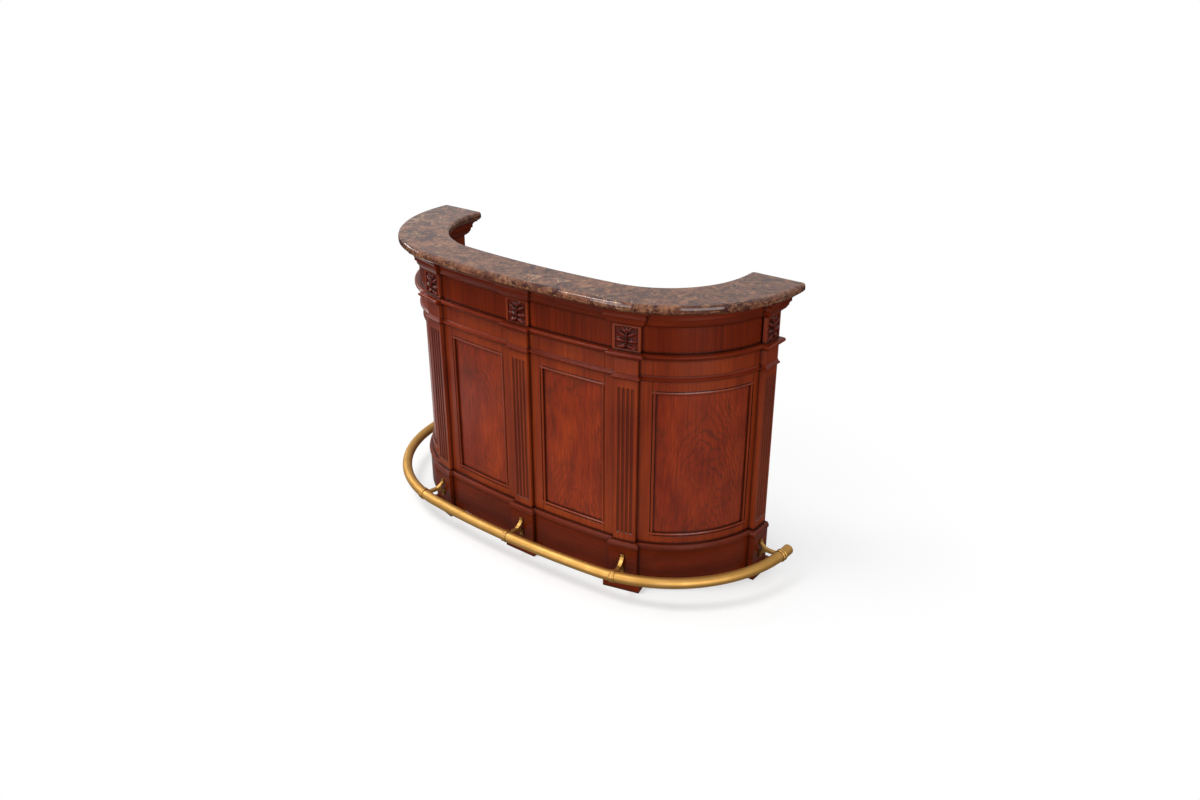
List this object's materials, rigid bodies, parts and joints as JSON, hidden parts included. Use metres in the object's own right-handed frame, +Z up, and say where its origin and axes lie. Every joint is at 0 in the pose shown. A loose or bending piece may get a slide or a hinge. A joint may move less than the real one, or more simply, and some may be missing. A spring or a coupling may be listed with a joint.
{
  "type": "home bar",
  "caption": "Bowed home bar with a stone top, fluted pilasters, curved raised-frame panels, carved frieze blocks, a brass foot rail and shelves on the service side.",
  "frame": {"origin": "floor level at the middle of the footprint's box", "axes": "+X along the bar, -Y to the front where guests sit, +Z up"},
  "size_m": [1.736, 0.6101, 1.067],
  "materials": {
    "stone": "polished brown marble",
    "mahogany": "semi-gloss lacquer over red-brown stain",
    "crotch_veneer": "semi-gloss lacquer over figured veneer",
    "straight_veneer": "semi-gloss lacquer over straight-grained veneer",
    "veneered_plywood": "satin lacquer",
    "brass": "satin brass"
  },
  "bodies": {
    "root": {"back_lining": "veneered_plywood", "base_cap": "mahogany", "baseboard_left_front": "mahogany", "baseboard_left_side": "mahogany", "baseboard_right_front": "mahogany", "baseboard_right_side": "mahogany", "bay_frame_left_front": "mahogany", "bay_frame_left_side": "mahogany", "bay_frame_right_front": "mahogany", "bay_frame_right_side": "mahogany", "bottom_board": "veneered_plywood", "cornice": "mahogany", "cornice_inner": "mahogany", "divider_centre": "veneered_plywood", "divider_left": "veneered_plywood", "divider_right": "veneered_plywood", "foot_centre": "mahogany", "foot_left": "mahogany", "foot_left_end": "mahogany", "foot_rail": "brass", "foot_right": "mahogany", "foot_right_end": "mahogany", "frieze_block_centre": "mahogany", "frieze_block_left": "mahogany", "frieze_block_left_end": "mahogany", "frieze_block_right": "mahogany", "frieze_block_right_end": "mahogany", "frieze_left_front": "straight_veneer", "frieze_left_side": "straight_veneer", "frieze_right_front": "straight_veneer", "frieze_right_side": "straight_veneer", "ledge": "mahogany", "necking": "mahogany", "panel_left_front": "crotch_veneer", "panel_left_side": "crotch_veneer", "panel_right_front": "crotch_veneer", "panel_right_side": "crotch_veneer", "pilaster_centre": "mahogany", "pilaster_left": "mahogany", "pilaster_left_end": "mahogany", "pilaster_right": "mahogany", "pilaster_right_end": "mahogany", "plinth_centre": "mahogany", "plinth_left": "mahogany", "plinth_left_end": "mahogany", "plinth_right": "mahogany", "plinth_right_end": "mahogany", "post_centre": "mahogany", "post_left": "mahogany", "post_left_end": "mahogany", "post_right": "mahogany", "post_right_end": "mahogany", "rail_brackets": "brass", "rail_end_caps": "brass", "shelf_lower": "veneered_plywood", "shelf_upper": "veneered_plywood", "stone_top": "stone", "sub_top": "veneered_plywood"}
  },
  "joints": []
}
